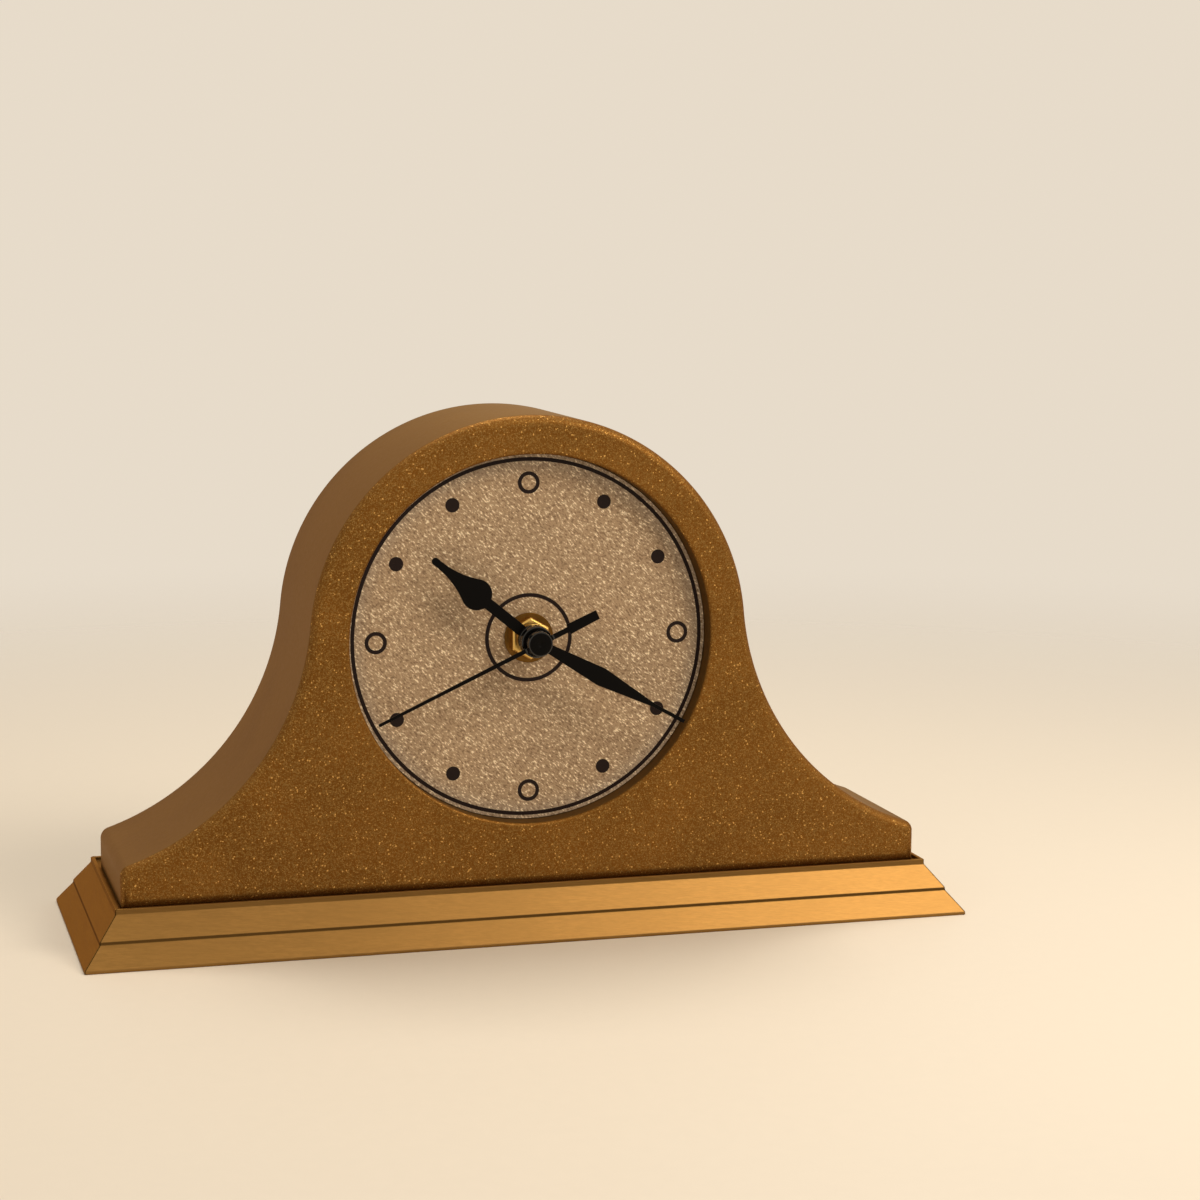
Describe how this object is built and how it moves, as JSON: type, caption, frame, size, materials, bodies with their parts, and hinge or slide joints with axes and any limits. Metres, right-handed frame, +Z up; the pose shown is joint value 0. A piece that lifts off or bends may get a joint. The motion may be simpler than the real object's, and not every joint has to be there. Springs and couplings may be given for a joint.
{
  "type": "tambour shelf clock",
  "caption": "Battery shelf clock with a humped gold case on a stepped mitred base, a leather dial sunk in its front, black hands and a quartz movement behind the dial.",
  "frame": {"origin": "on the table, under the middle of the base", "axes": "+X to the right seen from the front, +Y towards the back, +Z up"},
  "size_m": [0.238, 0.0794, 0.1375],
  "materials": {
    "base_gold": "brushed and anodised champagne gold",
    "board_wood": "plain sanded board",
    "case_gold": "satin champagne gold lacquer, with a fine glitter on the front",
    "dial_leather": "pale printed leather on a board",
    "rubber_pad": "matt",
    "washer_brass": "dark satin",
    "nut_brass": "polished",
    "plain_brass": "machined",
    "screw_steel": "zinc plated",
    "movement_plastic": "moulded black",
    "gear_plastic": "natural acetal",
    "magnet_black": "sintered",
    "stator_iron": "blanked soft iron",
    "winding_copper": "enamelled copper wire",
    "circuit_green": "lacquered laminate",
    "crystal_can": "drawn can",
    "cell_jacket": "plain printed jacket",
    "contact_nickel": "nickel plated strip",
    "hand_black": "satin black lacquer"
  },
  "bodies": {
    "case": {"base_front": "base_gold", "base_rear": "base_gold", "base_left": "base_gold", "base_right": "base_gold", "base_board": "board_wood", "case_body": "case_gold", "case_screws": "screw_steel", "leather_dial": "dial_leather", "rubber_washer": "rubber_pad", "brass_washer": "washer_brass", "hex_nut": "nut_brass", "threaded_bush": "plain_brass", "movement_case": "movement_plastic", "movement_cover": "movement_plastic", "mid_plate": "movement_plastic", "motor_stator": "stator_iron", "coil_core": "stator_iron", "coil_bobbin": "gear_plastic", "coil_winding": "winding_copper", "circuit_board": "circuit_green", "quartz_crystal": "crystal_can", "battery_cell": "cell_jacket", "positive_contact": "contact_nickel", "negative_contact": "contact_nickel"},
    "seconds": {"second_hand": "hand_black", "seconds_wheel": "gear_plastic"},
    "minutes": {"minute_hand": "hand_black", "minute_cannon": "plain_brass"},
    "hours": {"hour_hand": "hand_black", "hour_wheel": "gear_plastic"},
    "third": {"third_wheel": "gear_plastic"},
    "centre": {"centre_wheel": "gear_plastic"},
    "intermediate": {"intermediate_wheel": "gear_plastic"},
    "rotor": {"motor_rotor": "magnet_black"},
    "reduction": {"minute_wheel": "gear_plastic"},
    "knob": {"setting_knob": "movement_plastic"}
  },
  "joints": [
    {"name": "seconds_turn", "type": "hinge", "parent": "case", "child": "seconds", "pos_m": [0, 0, 0.0785], "axis": [0, 1, 0], "continuous": true},
    {"name": "third_turn", "type": "hinge", "parent": "case", "child": "third", "pos_m": [0.00902, 0, 0.08178], "axis": [0, 1, 0], "continuous": true},
    {"name": "centre_turn", "type": "hinge", "parent": "case", "child": "centre", "pos_m": [0, 0, 0.0785], "axis": [0, 1, 0], "continuous": true},
    {"name": "intermediate_turn", "type": "hinge", "parent": "case", "child": "intermediate", "pos_m": [-0.0096, 0, 0.0785], "axis": [0, 1, 0], "continuous": true},
    {"name": "rotor_turn", "type": "hinge", "parent": "case", "child": "rotor", "pos_m": [-0.0136, 0, 0.08543], "axis": [0, 1, 0], "continuous": true},
    {"name": "minutes_turn", "type": "hinge", "parent": "case", "child": "minutes", "pos_m": [0, 0, 0.0785], "axis": [0, 1, 0], "continuous": true},
    {"name": "reduction_turn", "type": "hinge", "parent": "case", "child": "reduction", "pos_m": [0.0048, 0, 0.07019], "axis": [0, 1, 0], "continuous": true},
    {"name": "hours_turn", "type": "hinge", "parent": "case", "child": "hours", "pos_m": [0, 0, 0.0785], "axis": [0, 1, 0], "continuous": true},
    {"name": "knob_turn", "type": "hinge", "parent": "case", "child": "knob", "pos_m": [0.01382, 0, 0.0669], "axis": [0, 1, 0], "continuous": true}
  ],
  "couplings": [
    {"joint": "third_turn", "follows": "seconds_turn", "ratio": -0.13333},
    {"joint": "centre_turn", "follows": "seconds_turn", "ratio": 0.016667},
    {"joint": "intermediate_turn", "follows": "seconds_turn", "ratio": -5},
    {"joint": "rotor_turn", "follows": "seconds_turn", "ratio": 30},
    {"joint": "reduction_turn", "follows": "minutes_turn", "ratio": -0.33333},
    {"joint": "hours_turn", "follows": "minutes_turn", "ratio": 0.083333},
    {"joint": "knob_turn", "follows": "minutes_turn", "ratio": 1}
  ]
}
